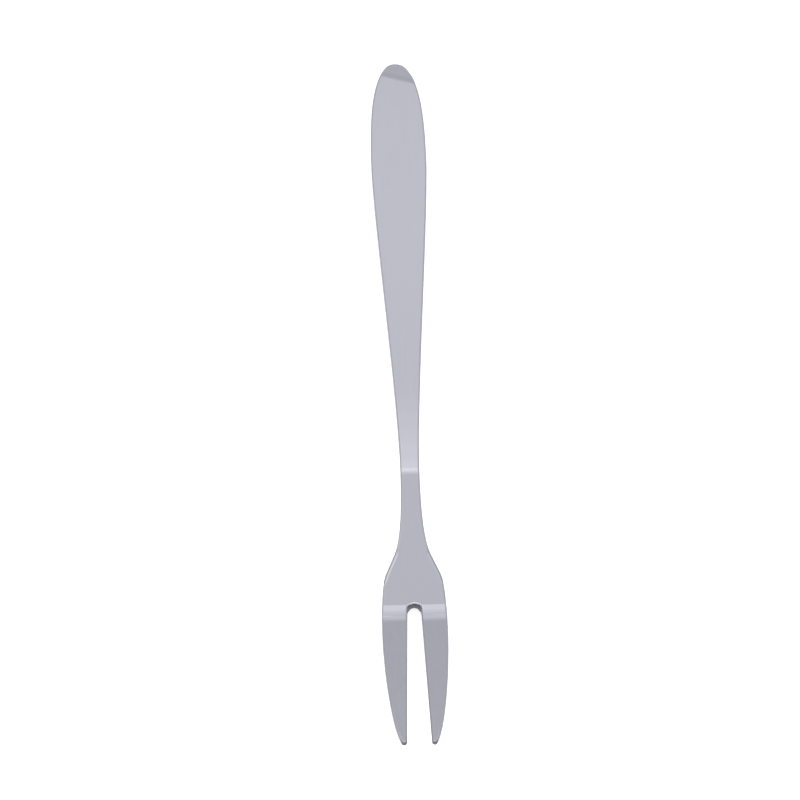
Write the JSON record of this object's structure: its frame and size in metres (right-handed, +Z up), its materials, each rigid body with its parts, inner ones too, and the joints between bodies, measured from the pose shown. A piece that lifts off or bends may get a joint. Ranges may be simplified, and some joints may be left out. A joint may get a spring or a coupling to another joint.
{
  "type": "dessert fork",
  "caption": "Small pressed stainless-steel fork with a slim teardrop handle, a cranked neck and long tines with an open slot between them, for cake and fruit.",
  "frame": {"origin": "centre of the fork's footprint, on the table that it lies on", "axes": "+Y along the fork towards the end of the handle, with the tips at -Y, +X across it, +Z up from the table and out of its face"},
  "size_m": [0.0116, 0.151, 0.0076],
  "materials": {
    "satin_stainless": "satin, brushed lengthwise, with tumbled edges"
  },
  "bodies": {
    "root": {"fork_body": "satin_stainless"}
  },
  "joints": []
}
